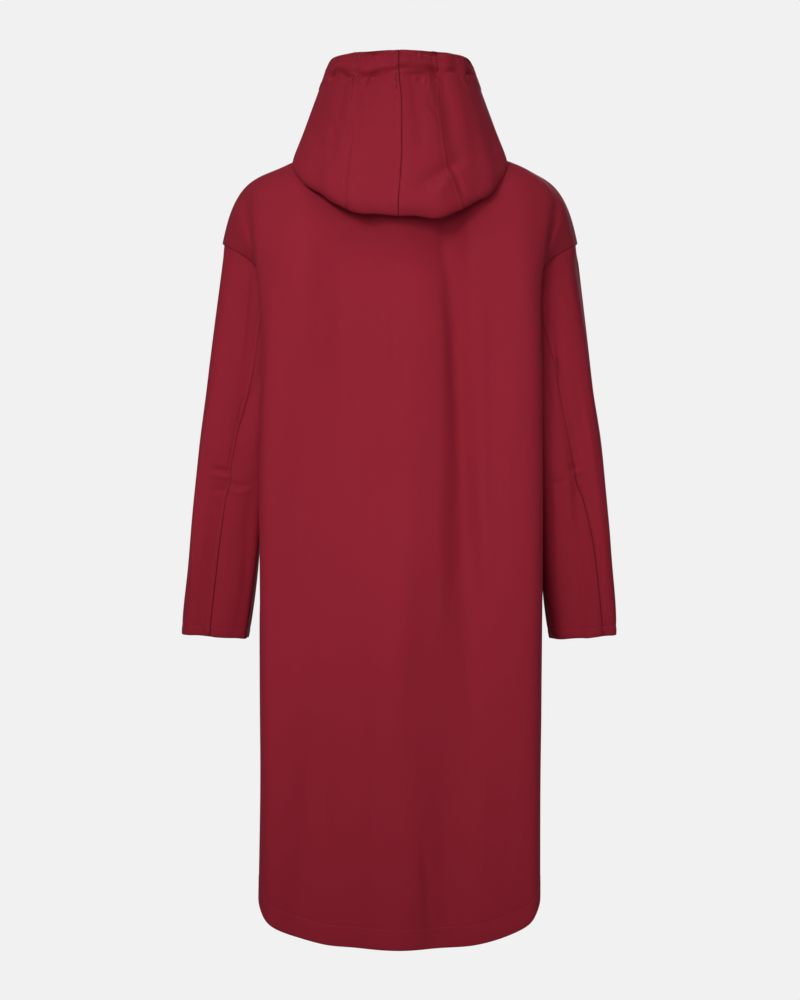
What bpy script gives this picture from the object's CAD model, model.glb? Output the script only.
"""A long hooded parka of dark red cotton, filled out as if worn and seen from behind.

Each cut piece is a thin shell of cloth on its solid's form, finished with its creases, turned
edges and sewing. Metres, +Z up, +X the wearer's left, +Y the wearer's back.
"""

import math

import bpy
import numpy as np
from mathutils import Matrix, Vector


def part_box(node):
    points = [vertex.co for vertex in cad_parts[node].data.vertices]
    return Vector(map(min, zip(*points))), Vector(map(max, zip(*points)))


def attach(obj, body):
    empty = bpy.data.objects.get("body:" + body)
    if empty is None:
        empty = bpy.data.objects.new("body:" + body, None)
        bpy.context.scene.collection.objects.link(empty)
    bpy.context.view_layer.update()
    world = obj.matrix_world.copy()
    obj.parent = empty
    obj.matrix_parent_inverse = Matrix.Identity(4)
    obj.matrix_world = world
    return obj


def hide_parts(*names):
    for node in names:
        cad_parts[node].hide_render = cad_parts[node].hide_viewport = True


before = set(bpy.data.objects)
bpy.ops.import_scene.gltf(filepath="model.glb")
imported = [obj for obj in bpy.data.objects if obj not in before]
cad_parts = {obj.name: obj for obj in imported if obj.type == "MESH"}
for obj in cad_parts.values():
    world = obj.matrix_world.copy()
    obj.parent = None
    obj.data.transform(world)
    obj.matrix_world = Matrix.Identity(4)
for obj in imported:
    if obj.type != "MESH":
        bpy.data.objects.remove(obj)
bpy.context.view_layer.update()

# Studio: an even pale surround, a pale floor at standing height below the neck, and wide soft
# lights, the strongest from the picture's upper left. The camera looks level at the coat's back.
CAMERA_DISTANCE, CAMERA_HEIGHT, CAMERA_LENS = 4.0, -0.4828, 105.88
FLOOR_HEIGHT, FLOOR_RADIUS = -1.42, 1.3
SURROUND = 0.880
AMBIENT = 0.20
FLOOR_GREY, FLOOR_ROUGHNESS, FLOOR_CORNERS = 0.74, 0.7, 96
# Columns: name, place, aim, size, spread in degrees, watts
LIGHTS = (
    ("key", (1.25, 3.35, 1.15), (0.0, 0.0, -0.46), 1.0, 30.0, 1.99),
    ("front", (0.3, 3.6, 0.2), (0.0, 0.0, -0.46), 0.9, 30.0, 0.98),
    ("fill", (-2.2, 2.6, 0.2), (0.0, 0.0, -0.35), 1.6, 120.0, 3.0),
    ("top", (0.4, 0.9, 2.2), (0.0, 0.0, -0.2), 1.6, 180.0, 9.5),
    ("hood", (1.2, 1.9, 1.5), (0.03, 0.1, 0.06), 0.5, 10.0, 0.040),
    ("low", (0.5, 3.2, -1.0), (0.0, 0.0, -0.8), 1.5, 180.0, 2.5),
    ("far_side", (-0.7, -3.6, 0.7), (0.0, 0.0, -0.4), 1.8, 180.0, 62.0),
)

camera = bpy.data.objects.new("camera", bpy.data.cameras.new("camera"))
camera.data.lens = CAMERA_LENS
camera.location = (0.0, CAMERA_DISTANCE, CAMERA_HEIGHT)
camera.rotation_euler = (math.pi / 2, 0.0, math.pi)
bpy.context.collection.objects.link(camera)
bpy.context.scene.camera = camera
bpy.context.scene.view_settings.view_transform = "Standard"

for name, place, aim, size, spread, watts in LIGHTS:
    light = bpy.data.lights.new(name, "AREA")
    light.shape, light.size, light.energy = "DISK", size, watts
    light.spread = math.radians(spread)
    lamp = bpy.data.objects.new(name, light)
    lamp.location = place
    away = np.array(place) - np.array(aim)
    level = math.hypot(away[0], away[1])
    lamp.rotation_euler = (math.atan2(level, away[2]), 0.0, math.atan2(away[0], -away[1]))
    bpy.context.collection.objects.link(lamp)

world = bpy.data.worlds.new("surround")
bpy.context.scene.world = world
world.use_nodes = True
sky = world.node_tree
sky.nodes.clear()
seen, lit = sky.nodes.new("ShaderNodeBackground"), sky.nodes.new("ShaderNodeBackground")
seen.inputs["Color"].default_value = (SURROUND, SURROUND, SURROUND, 1)
lit.inputs["Color"].default_value = (AMBIENT, AMBIENT, AMBIENT, 1)
chosen, path = sky.nodes.new("ShaderNodeMixShader"), sky.nodes.new("ShaderNodeLightPath")
sky.links.new(path.outputs["Is Camera Ray"], chosen.inputs[0])
sky.links.new(lit.outputs[0], chosen.inputs[1])
sky.links.new(seen.outputs[0], chosen.inputs[2])
sky.links.new(chosen.outputs[0], sky.nodes.new("ShaderNodeOutputWorld").inputs[0])

turns = np.linspace(0, 2 * math.pi, FLOOR_CORNERS, endpoint=False)
floor_mesh = bpy.data.meshes.new("floor")
rim = [(FLOOR_RADIUS * math.cos(t), FLOOR_RADIUS * math.sin(t), FLOOR_HEIGHT) for t in turns]
floor_mesh.from_pydata(rim, [], [list(range(len(rim)))])
floor = bpy.data.objects.new("floor", floor_mesh)
bpy.context.collection.objects.link(floor)
paint = bpy.data.materials.new("pale_floor")
paint.use_nodes = True
matt = paint.node_tree.nodes["Principled BSDF"].inputs
matt["Base Color"].default_value = (FLOOR_GREY, FLOOR_GREY, FLOOR_GREY, 1)
matt["Roughness"].default_value = FLOOR_ROUGHNESS
floor_mesh.materials.append(paint)


# The cotton: a close plain weave in dark red, matt, with a faint bloom where it turns away. Its
# own map "Cloth" is in metres along and across the piece; "Seam" is along and away from the edge.
COTTON_RED = (0.300, 0.0135, 0.0300)
DEEP_RED = (0.205, 0.0080, 0.0185)
LINE_RED = (0.100, 0.0035, 0.0085)  # in the shade of a piece's turned edge
LINE_FROM, LINE_TO = 0.0005, 0.0019
FAINT_LINE = 0.35  # an edge on top of its neighbour has this share of that shade
WEAVE_PITCH = 0.0011  # two threads
WEAVE_HEIGHT, SLUB_HEIGHT, CRUMPLE_HEIGHT, PUCKER_HEIGHT = 0.00004, 0.00005, 0.0010, 0.0008
# Noise waves in a metre: across and down the cloth, then alike both ways
SLUB_WAVES, PUCKER_WAVES = (900.0, 60.0, 0.0), (120.0, 22.0, 0.0)
CRUMPLE_WAVES, CLOUD_WAVES = 34.0, 7.0
PUCKERS_FROM, PUCKERS_TO = 0.004, 0.024  # from full to none, in from an edge
EVEN_SHADE, CLOUD_SHADE, SLUB_SHADE, WEAVE_SHADE = 0.80, 0.20, 0.14, 0.03
ROUGH_COTTON, CLOUD_ROUGHNESS = 0.78, 0.10
COTTON_GLOSS, BLOOM, BLOOM_ROUGHNESS, BLOOM_RED = 0.16, 0.06, 0.40, (0.90, 0.20, 0.26, 1.0)
# Thread: colours where it is worn and fresh, waves of its ply and of its wear
THREAD_RED, THREAD_PALE = (0.18, 0.009, 0.019), (0.52, 0.060, 0.090)
PLY_WAVES, WEAR_WAVES = 900.0, 70.0


class Wire:
    """A shader socket that takes part in sums; node() adds any node that isn't a sum."""

    def __init__(self, tree, socket=None):
        self.tree, self.socket = tree, socket

    def node(self, kind, inputs, output=0, **settings):
        added = self.tree.nodes.new(kind)
        for name, value in settings.items():
            setattr(added, name, value)
        for name, value in inputs.items():
            if isinstance(value, Wire):
                self.tree.links.new(value.socket, added.inputs[name])
            else:
                added.inputs[name].default_value = value
        return Wire(self.tree, added.outputs[output])

    def sum_node(self, operation, first, second):
        return self.node("ShaderNodeMath", {0: first, 1: second}, operation=operation)

    def __add__(self, other):
        return self.sum_node("ADD", self, other)

    def __mul__(self, other):
        return self.sum_node("MULTIPLY", self, other)

    __radd__, __rmul__ = __add__, __mul__

    def place(self):
        return self.node("ShaderNodeTexCoord", {}, output="Object")

    def times(self, vector):
        return self.node("ShaderNodeVectorMath", {0: self, 1: vector}, operation="MULTIPLY")

    def noise(self, vector, scale=1.0, **more):
        return self.node("ShaderNodeTexNoise", {"Vector": vector, "Scale": scale, **more})

    def ramp(self, low, high, at_low=0.0, at_high=1.0, **settings):
        ends = {"From Min": low, "From Max": high, "To Min": at_low, "To Max": at_high}
        return self.node("ShaderNodeMapRange", {"Value": self, **ends}, **settings)

    def between(self, low, high):
        """The colour at this share of the way between two, each a wire or red, green and blue."""
        low, high = ((*c, 1.0) if isinstance(c, tuple) else c for c in (low, high))
        return self.node("ShaderNodeMix", {0: self, 6: low, 7: high}, output=2, data_type="RGBA")

    def into(self, shader, name):
        self.tree.links.new(self.socket, shader.inputs[name])


def blank_material(name, roughness):
    """A new material, a wire to add nodes with, and its shader."""
    material = bpy.data.materials.new(name)
    material.use_nodes = True
    shader = material.node_tree.nodes["Principled BSDF"]
    shader.inputs["Roughness"].default_value = roughness
    return material, Wire(material.node_tree), shader


def cotton(name, line=1.0):
    """The cotton, its edges shaded by this share of the line where two pieces meet."""
    material, wire, shader = blank_material(name, 0.82)
    cloth = wire.node("ShaderNodeUVMap", {}, uv_map="Cloth")
    seam = wire.node("ShaderNodeUVMap", {}, uv_map="Seam")
    along, down = (wire.node("ShaderNodeSeparateXYZ", {0: cloth}, output=i) for i in (0, 1))
    away = wire.node("ShaderNodeSeparateXYZ", {0: seam}, output=1)

    turn = 2 * math.pi / WEAVE_PITCH
    warp = wire.node("ShaderNodeMath", {0: along * turn}, operation="SINE")
    weft = wire.node("ShaderNodeMath", {0: down * turn}, operation="SINE")
    weave = warp * weft
    slub = wire.noise(cloth.times(SLUB_WAVES), Detail=2.0)
    crumple = wire.noise(cloth, CRUMPLE_WAVES, Detail=3.0, Roughness=0.45)
    puckers = wire.noise(seam.times(PUCKER_WAVES), Detail=1.0)
    near = away.ramp(PUCKERS_FROM, PUCKERS_TO, 1.0, 0.0, interpolation_type="SMOOTHSTEP")
    height = weave * WEAVE_HEIGHT + slub * SLUB_HEIGHT
    height = height + crumple * CRUMPLE_HEIGHT + puckers * near * PUCKER_HEIGHT
    bump = wire.node("ShaderNodeBump", {"Strength": 1.0, "Distance": 1.0, "Height": height})
    bump.into(shader, "Normal")

    cloud = wire.noise(wire.place(), CLOUD_WAVES, Detail=3.0)
    shade = EVEN_SHADE + cloud * CLOUD_SHADE + slub * SLUB_SHADE + weave * WEAVE_SHADE
    groove = away.ramp(LINE_FROM, LINE_TO, 1 - line, 1.0, interpolation_type="SMOOTHSTEP")
    groove.between(LINE_RED, shade.between(DEEP_RED, COTTON_RED)).into(shader, "Base Color")
    (ROUGH_COTTON + cloud * CLOUD_ROUGHNESS).into(shader, "Roughness")
    shader.inputs["Specular IOR Level"].default_value = COTTON_GLOSS
    shader.inputs["Sheen Weight"].default_value = BLOOM
    shader.inputs["Sheen Roughness"].default_value = BLOOM_ROUGHNESS
    shader.inputs["Sheen Tint"].default_value = BLOOM_RED
    return material


cloth_material, faint_material = cotton("red_cotton"), cotton("red_cotton_faint_edge", FAINT_LINE)

thread_material, wire, shader = blank_material("red_thread", 0.6)
wear = wire.noise(wire.place(), PLY_WAVES) * 0.4 + wire.noise(wire.place(), WEAR_WAVES) * 0.6
wear.ramp(0.35, 0.65).between(THREAD_RED, THREAD_PALE).into(shader, "Base Color")
shader.inputs["Specular IOR Level"].default_value = 0.2


# Back: one piece of cotton with no centre seam. It drops over the shoulders to the armholes, laps
# over the arms at a soft fold, and ends in a curved shirt-tail hem turned under by 27 mm.
CLOTH_THICKNESS = 0.0010
TURNED_EDGE = 0.0018  # over this width an edge rounds off to half its thickness
ROUND_SHARE = 0.4  # where its one middle row of points lies
CLOTH_STEP = 0.0042
EDGE_ZONE = 0.045  # rows this close to an edge keep their distance from it
SEAM_ALLOWANCE = 0.006  # cloth that runs on under the next piece
ALLOWANCE_ROWS = (1.0, 0.67, 0.33)
SEAM_SINK, SEAM_FROM, SEAM_TO = 0.0011, -0.0015, 0.0016  # where the piece on top presses it
ROW_SINK, ROW_HALF_WIDTH = 0.00045, 0.0017  # how a row of sewing draws the cloth in
ROW_SIDE, ROW_CLEAR = 0.0014, 0.0026  # rows of points beside it, and their next neighbours
BAND_FROM, BAND_TO = -0.003, 0.001  # the slope at the end of turned cloth
BODY_HEM = 0.027
PUCKER_SPACING, PUCKER_COUNT, PUCKER_PATCH = 0.0105, 9, 0.071
RIPPLE_COUNT, RIPPLE_LEAN = 14, 0.35
CREASE_STEPS, CREASE_FULLNESS = 25, 0.7
BODY_RIPPLE, BACK_SEED, FRONT_SEED = 0.0030, 11, 23
YOKE_ROWS, BODY_SOFTENING = 64, 8
NECK_HALF_WIDTH = 0.078
NECK_BACK, NECK_BACK_DROP = 0.070, 0.004
NECK_FRONT, NECK_FRONT_DROP, NECK_FRONT_CURVE = 0.075, 0.075, 1.6
MIRROR = np.array((-1.0, 1.0, 1.0))
# Shoulder seam from the neck to its dropped tip: across, height
SHOULDER = np.array(
    (
        (NECK_HALF_WIDTH, 0.0),
        (0.1496, -0.0272),
        (0.1999, -0.0476),
        (0.2149, -0.0612),
        (0.2298, -0.0884),
        (0.2380, -0.1156),
        (0.2420, -0.1340),
    )
)
ARM_MIDDLE = -0.005  # depth of the armhole's top and bottom
# Back half of the armhole: place down the panel, turn round the arm, across, depth, height
ARMHOLE = np.array(
    (
        (0.00, 0, 0.2420, ARM_MIDDLE, -0.1340),
        (0.20, 30, 0.2345, 0.0270, -0.1405),
        (0.40, 60, 0.2185, 0.0480, -0.1500),
        (0.60, 90, 0.2000, 0.0590, -0.1630),
        (0.70, 108, 0.1870, 0.0620, -0.1800),
        (0.80, 128, 0.1745, 0.0580, -0.2080),
        (0.90, 155, 0.1640, 0.0370, -0.2500),
        (1.00, 180, 0.1600, ARM_MIDDLE, -0.2900),
    )
)
UNDERARM = -0.290
# Body below the underarm: height, centre back depth, crest across and depth, side seam across and
# depth, front corner across and depth, centre front depth
BODY = np.array(
    (
        (-0.29, 0.128, 0.1868, 0.098, 0.1600, ARM_MIDDLE, 0.146, -0.092, -0.131),
        (-0.35, 0.129, 0.1866, 0.103, 0.1630, -0.005, 0.150, -0.093, -0.132),
        (-0.45, 0.129, 0.1866, 0.106, 0.1720, -0.008, 0.155, -0.094, -0.133),
        (-0.57, 0.128, 0.1852, 0.103, 0.1840, -0.010, 0.163, -0.090, -0.132),
        (-0.65, 0.126, 0.1850, 0.101, 0.1885, -0.010, 0.168, -0.088, -0.130),
        (-0.80, 0.122, 0.1873, 0.096, 0.1900, -0.012, 0.170, -0.086, -0.127),
        (-1.08, 0.117, 0.1872, 0.090, 0.1900, -0.015, 0.170, -0.085, -0.125),
    )
)
# Crest of the fold above the underarm: height, across on the left, across on the right
CREST = np.array(
    (
        (-0.290, 0.1868, 0.1860),
        (-0.275, 0.1874, 0.1858),
        (-0.2255, 0.1900, 0.1862),
        (-0.191, 0.1933, 0.1875),
        (-0.162, 0.1965, 0.1935),
        (-0.132, 0.1997, 0.2000),
        (-0.100, 0.2020, 0.2060),
        (-0.066, 0.2028, 0.2060),
        (-0.048, 0.1990, 0.1990),
    )
)
# Stations round half the body, from centre back to centre front: distance round, hem height
ROUND = np.array((0.000, 0.085, 0.152, 0.196, 0.214, 0.236, 0.292, 0.382, 0.455, 0.535))
HEM = np.array(
    (-1.0737, -1.0717, -1.0430, -1.0150, -1.0110, -1.0085, -1.0070, -1.0440, -1.0690, -1.0737)
)
SIDE = 6  # the side seam's place in that list
BLADE_SHARE, LAP_SHARE, CHEST_SHARE = 0.45, 0.93, 0.53
BLADE_FALL, LAP_FALL, CHEST_RISE = 0.05, 0.27, 0.18
TURN_SHARE, HOLLOW_SHARE = np.array((0.20, 0.18)), np.array((0.68, 0.39))
SHOULDER_FULLNESS = 0.8
LAP_ON_SHOULDER, CREST_ON_SHOULDER, CORNER_ON_SHOULDER = 0.33, 0.53, 0.42
TURN_DIP, HOLLOW_DIP = 0.009, 0.003
DIP_PLACES = (0.0, 0.3, 0.45, 0.75)
FOLD_PLACES = (0.0, 0.3, 0.65, 1.0)
FOLD_DEPTH = 2.0  # cloth folds deeper than the solids do
CALM_FROM, CALM_TO = 0.004, 0.060  # the folds die away towards a side seam or armhole
# Largest folds, each a ridge that may fall away faster on one side: panel side (1 back, -1 front),
# across at top and bottom, top and bottom height, half width to left and right, ridge's height
FOLDS = (
    (1, -0.054, -0.050, -0.10, -0.72, 0.068, 0.023, 0.0080),
    (1, -0.068, -0.090, 0.06, -0.70, 0.032, 0.011, -0.0034),
    (1, -0.160, -0.158, -0.22, -0.84, 0.050, 0.026, 0.0022),
    (1, -0.004, -0.006, -0.44, -1.38, 0.058, 0.074, 0.0145),
    (1, 0.172, 0.166, -0.56, -1.42, 0.030, 0.062, 0.0040),
    (1, 0.120, 0.118, -0.10, -0.34, 0.050, 0.030, 0.0030),
    (1, 0.146, 0.142, -0.24, -0.66, 0.030, 0.034, 0.0030),
    (-1, 0.070, 0.076, -0.20, -0.85, 0.034, 0.034, -0.0050),
    (-1, -0.066, -0.072, -0.24, -0.92, 0.034, 0.034, -0.0045),
    (-1, 0.120, 0.118, -0.45, -1.02, 0.030, 0.030, 0.0045),
    (-1, -0.118, -0.120, -0.38, -1.00, 0.032, 0.032, 0.0050),
)
# Smaller creases of the back: height of the ridge in mm (negative for a trough), half width in mm,
# then the points it runs through, across and height
BACK_CREASES = (
    (-4.0, 9, (
        (-0.058, -0.070), (-0.064, -0.165), (-0.071, -0.245), (-0.078, -0.380), (-0.086, -0.580),
    )),
    (-5.0, 22, ((-0.074, -0.460), (-0.088, -0.560), (-0.094, -0.660), (-0.096, -0.780))),
    (-4.0, 24, ((0.090, -0.100), (0.084, -0.220), (0.080, -0.360), (0.088, -0.520))),
    (2.4, 9, ((-0.108, -0.200), (-0.108, -0.320), (-0.110, -0.460), (-0.112, -0.600))),
    (-13.0, 30, (
        (0.070, -0.114), (0.036, -0.142), (-0.006, -0.152), (-0.052, -0.144), (-0.088, -0.116),
    )),
    (-2.2, 4, (
        (0.2045, -0.085), (0.2020, -0.130), (0.1985, -0.170), (0.1950, -0.210), (0.1915, -0.270),
    )),
    (-2.2, 4, (
        (-0.2080, -0.090), (-0.2010, -0.130), (-0.1955, -0.170), (-0.1905, -0.215),
        (-0.1890, -0.270),
    )),
    (1.6, 12, ((-0.104, -0.250), (-0.108, -0.380), (-0.112, -0.520), (-0.118, -0.700))),
    (-1.6, 9, ((0.112, -0.150), (0.104, -0.200), (0.110, -0.270), (0.104, -0.330))),
    (-1.8, 7, ((0.008, -0.180), (0.010, -0.240), (0.006, -0.330), (0.012, -0.400))),
    (1.5, 9, ((0.070, -0.190), (0.068, -0.300), (0.074, -0.430), (0.062, -0.560))),
    (1.2, 8, ((-0.146, -0.330), (-0.140, -0.470), (-0.146, -0.620))),
    (-1.5, 9, ((0.140, -0.430), (0.134, -0.600), (0.142, -0.780))),
    (-1.4, 10, ((-0.088, -0.660), (-0.096, -0.760), (-0.090, -0.860))),
    (-2.2, 6, ((-0.026, -0.900), (-0.034, -0.960), (-0.038, -1.010), (-0.042, -1.066))),
    (1.5, 10, ((0.040, -0.700), (0.030, -0.800), (0.036, -0.930), (0.028, -1.020))),
    (1.3, 9, ((-0.100, -0.800), (-0.108, -0.880), (-0.102, -0.980), (-0.108, -1.040))),
    (-1.2, 8, ((0.094, -0.760), (0.100, -0.880), (0.092, -1.000))),
    (-1.2, 8, ((-0.140, -0.820), (-0.146, -0.920), (-0.138, -1.010))),
    (1.0, 6, ((0.160, -0.300), (0.156, -0.380), (0.162, -0.470))),
    (-1.0, 7, ((0.030, -0.420), (0.040, -0.500), (0.036, -0.590))),
)


def hermite(values, tangent, i, f, width):
    """Cubics from each value i to the next, read at the share f of that step's width."""
    start, end = (1 + 2 * f) * (1 - f) ** 2, f * f * (3 - 2 * f)
    leave, arrive = f * (1 - f) ** 2 * width, f * f * (f - 1) * width
    return start * values[i] + end * values[i + 1] + leave * tangent[i] + arrive * tangent[i + 1]


def smooth(knots, values, places):
    """The smooth line through a row of values at each knot, with no overshoot, at the places."""
    knots, values = np.asarray(knots, float), np.asarray(values, float)
    places = np.atleast_1d(np.asarray(places, float))
    step = np.diff(knots)[:, None]
    slope = np.diff(values, axis=0) / step
    steeper = np.maximum(np.abs(slope[:-1]), np.abs(slope[1:])) + 1e-12
    inner = slope[:-1] * slope[1:] * 2 / (np.abs(slope[:-1]) + np.abs(slope[1:]) + 1e-12)
    inner = np.where(inner > 0, np.sign(slope[:-1]) * np.minimum(inner, steeper), 0.0)
    tangent = np.vstack((slope[:1], inner, slope[-1:]))
    i = np.clip(np.searchsorted(knots, places, side="right") - 1, 0, len(knots) - 2)
    width = step[i]
    f = (places - knots[i])[:, None] / width
    return hermite(values, tangent, i, f, width)


def eased(low, high, value):
    """0 below low, 1 above high, and a soft rise between."""
    f = np.clip((value - low) / (high - low), 0.0, 1.0)
    return f * f * (3 - 2 * f)


def unit(vectors):
    return vectors / np.linalg.norm(vectors, axis=-1, keepdims=True)


def neck_point(turn):
    """A point of the neck seam, by its turn from centre back in degrees."""
    side, along = math.sin(math.radians(turn)), math.cos(math.radians(turn))
    if along >= 0:
        return np.array((NECK_HALF_WIDTH * side, NECK_BACK * along, -NECK_BACK_DROP * along**2))
    drop = NECK_FRONT_DROP * (-along) ** NECK_FRONT_CURVE
    return np.array((NECK_HALF_WIDTH * side, NECK_FRONT * along, -drop))


def shoulder_point(share):
    """A point of the shoulder seam, 0 at the neck and 1 at the tip of the shoulder."""
    lengths = np.append(0, np.cumsum(np.linalg.norm(np.diff(SHOULDER, axis=0), axis=1)))
    across, height = smooth(lengths / lengths[-1], SHOULDER, share)[0]
    return np.array((across, ARM_MIDDLE * share, height))


def armhole_point(turn):
    """A point of the armhole by its turn round the arm, its front half mirroring its back half."""
    front = turn > 180
    point = smooth(ARMHOLE[:, 1], ARMHOLE[:, 2:], 360 - turn if front else turn)[0]
    return np.array((point[0], 2 * ARM_MIDDLE - point[1], point[2])) if front else point


def body_stations(share):
    """The stations of half the body, on the row this share of the way from underarm to hem."""
    rows = []
    for i, height in enumerate(UNDERARM + share * (HEM - UNDERARM)):
        row = smooth(-BODY[:, 0], BODY[:, 1:], -height)[0]
        back, front, crest, side, corner = row[0], row[7], row[1:3], row[3:5], row[5:7]
        flat = (
            (0, back),
            (BLADE_SHARE * crest[0], back - BLADE_FALL * (back - crest[1])),
            (LAP_SHARE * crest[0], back - LAP_FALL * (back - crest[1])),
            crest,
            crest + TURN_SHARE * (side - crest),
            crest + HOLLOW_SHARE * (side - crest),
            side,
            corner,
            (CHEST_SHARE * corner[0], front + CHEST_RISE * (corner[1] - front)),
            (0, front),
        )[i]
        rows.append((*flat, height))
    return np.array(rows)


def dropped(top, bottom, place):
    """A point on the line that leaves the shoulder squarely and turns down to the underarm."""
    turn = place * math.pi / 2
    out, down = math.sin(turn) ** SHOULDER_FULLNESS, 1 - math.cos(turn)
    return top + np.array((place, out, down)) * (bottom - top)


def yoke_stations(place, bottom, hand):
    """Back stations from centre back to armhole, on a row between shoulder and underarm."""
    tops = [neck_point(0), neck_point(90)]
    tops += [shoulder_point(share) for share in (LAP_ON_SHOULDER, CREST_ON_SHOULDER)]
    line = [dropped(top, bottom[i], place) for i, top in enumerate(tops)]
    crest = line[3]
    crest[0] = smooth(CREST[:, 0], CREST[:, 1:], crest[2])[0, 0 if hand == "left" else 1]
    turn = smooth(ARMHOLE[:, 0], ARMHOLE[:, 1:2], place)[0, 0]
    edge = armhole_point(turn)
    dip = eased(*DIP_PLACES[:2], place) * (1 - eased(*DIP_PLACES[2:], place))
    for share, depth in ((TURN_SHARE, TURN_DIP), (HOLLOW_SHARE, HOLLOW_DIP)):
        point = crest + np.append(share, share[1]) * (edge - crest)
        line.append(point - np.array((0, depth * dip, 0)))
    return np.array(line + [edge])


def chest_stations(place, bottom, hand):
    """Front stations from centre front to armhole, the same for either hand."""
    tops = (neck_point(180), neck_point(90), shoulder_point(CORNER_ON_SHOULDER))
    line = [dropped(top, bottom[i], place) for i, top in enumerate(tops)]
    turn = smooth(ARMHOLE[:, 0], ARMHOLE[:, 1:2], place)[0, 0]
    return np.array(line + [armhole_point(360 - turn)])


def softened(grid, passes):
    """The grid with its kinks eased and its edges kept."""
    for _ in range(passes):
        inner = (grid[:-2] + 2 * grid[1:-1] + grid[2:]) / 4
        grid = np.concatenate((grid[:1], inner, grid[-1:]))
        inner = (grid[:, :-2] + 2 * grid[:, 1:-1] + grid[:, 2:]) / 4
        grid = np.concatenate((grid[:, :1], inner, grid[:, -1:]), axis=1)
    return grid


def grid_normals(grid, flip=1.0):
    """Outward directions on a grid of rows by columns."""
    return flip * unit(np.cross(np.gradient(grid, axis=1), np.gradient(grid, axis=0)))


def raised(grid, flip, height):
    """The grid moved outward by a height at each point."""
    return grid + grid_normals(grid, flip) * height[..., None]


def flat_map(across, down):
    """Flat places of a grid, from one row of distances across and one column of them down."""
    return np.stack(np.broadcast_arrays(across[None, :], down[:, None]), axis=-1)


def creased(flat, creases):
    """Height of hand-placed creases over points on the flat cloth; each dies away at its ends."""
    height = np.zeros(flat.shape[:-1])
    for ridge, half_width, points in creases:
        points = np.array(points, float)
        lengths = np.append(0, np.cumsum(np.linalg.norm(np.diff(points, axis=0), axis=1)))
        steps = np.linspace(0, 1, CREASE_STEPS)
        line = smooth(lengths / lengths[-1], points, steps)
        strength = ridge * 0.001 * np.sin(math.pi * (steps * 0.96 + 0.02)) ** CREASE_FULLNESS
        close = np.full(flat.shape[:-1], 1e9)
        size = np.zeros(flat.shape[:-1])
        for start, end, first, last in zip(line, line[1:], strength, strength[1:]):
            run = end - start
            f = np.clip(((flat - start) @ run) / (run @ run), 0, 1)
            off = np.linalg.norm(flat - start - f[..., None] * run, axis=-1)
            nearer = off < close
            close = np.where(nearer, off, close)
            size = np.where(nearer, first + f * (last - first), size)
        height += size * np.exp(-((close / (half_width * 0.001)) ** 2))
    return height


def rippled(flat, seed, height, longest=0.22, shortest=0.05):
    """Faint uneven waves, mostly running down the cloth, the same each time for one seed."""
    chance = np.random.default_rng(seed)
    total = np.zeros(flat.shape[:-1])
    for _ in range(RIPPLE_COUNT):
        wave = longest * (shortest / longest) ** chance.random()
        lean = chance.normal(0.0, RIPPLE_LEAN)
        across, down = math.cos(lean) / wave, 0.35 * math.sin(lean) / wave
        phase = chance.random()
        total += wave * np.sin(2 * math.pi * (flat[..., 0] * across + flat[..., 1] * down + phase))
    return height * total / (longest * 2.0)


def puckered(flat, row, seed, height, reach):
    """Short uneven waves across a row of sewing at one place down, dying off beside it."""
    chance = np.random.default_rng(seed)
    total = np.zeros(flat.shape[:-1])
    along, off = flat[..., 0], np.abs(flat[..., 1] - row)
    for _ in range(PUCKER_COUNT):
        wave = PUCKER_SPACING * 2 ** chance.uniform(-0.7, 0.9)
        slant = chance.normal(0.0, 0.5)
        total += np.sin(2 * math.pi * ((along + slant * off) / wave + chance.random()))
    patches = 0.5 + 0.5 * np.sin(2 * math.pi * (along / PUCKER_PATCH + chance.random()))
    return height * total / 3 * (0.35 + 0.65 * patches) * np.exp(-((off / reach) ** 2))


def lengths_along(grid, axis):
    """Distance of each grid point from the first row (axis 0) or column (axis 1)."""
    steps = np.linalg.norm(np.diff(grid, axis=axis), axis=-1)
    return np.concatenate((np.zeros_like(np.take(steps, [0], axis)), np.cumsum(steps, axis)), axis)


def spaced(lengths, step, first=(), last=()):
    """Distances along each line of cloth: finer at both ends and beside each mark, in from them."""
    zone = min(EDGE_ZONE, 0.4 * lengths.min())

    def beside(marks):
        places = np.linspace(TURNED_EDGE, zone, max(2, round((zone - TURNED_EDGE) / step)))
        for mark in marks:
            places = places[np.abs(places - mark) > ROW_CLEAR]
        near = [mark + side * ROW_SIDE for mark in marks for side in (-1, 0, 1)]
        return np.sort(np.concatenate(((0, ROUND_SHARE * TURNED_EDGE), places, near)))

    count = max(2, round((lengths.mean() - 2 * zone) / step))
    shares = np.arange(1, count) / count
    start, end = (np.tile(beside(marks), (len(lengths), 1)) for marks in (first, last))
    middle = zone + shares * (lengths[:, None] - 2 * zone)
    return np.concatenate((start, middle, lengths[:, None] - end[:, ::-1]), axis=1)


def read_line(line, wanted):
    """Points of a smooth line at the wanted distances along it."""
    steps = np.linalg.norm(np.diff(line, axis=0), axis=1)
    known = np.append(0, np.cumsum(steps))
    tangent = np.gradient(line, known, axis=0)
    i = np.clip(np.searchsorted(known, wanted, side="right") - 1, 0, len(known) - 2)
    width = steps[i][:, None]
    return hermite(line, tangent, i, (wanted - known[i])[:, None] / width, width)


def refined(grid, step, marks):
    """The grid with even steps, finer at its edges and along the sewing."""
    for first, last in ((2, 3), (0, 1)):
        lines = grid.transpose(1, 0, 2)
        wanted = spaced(lengths_along(lines, 1)[:, -1], step, marks[first], marks[last])
        grid = np.array([read_line(line, places) for line, places in zip(lines, wanted)])
    return grid


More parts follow.
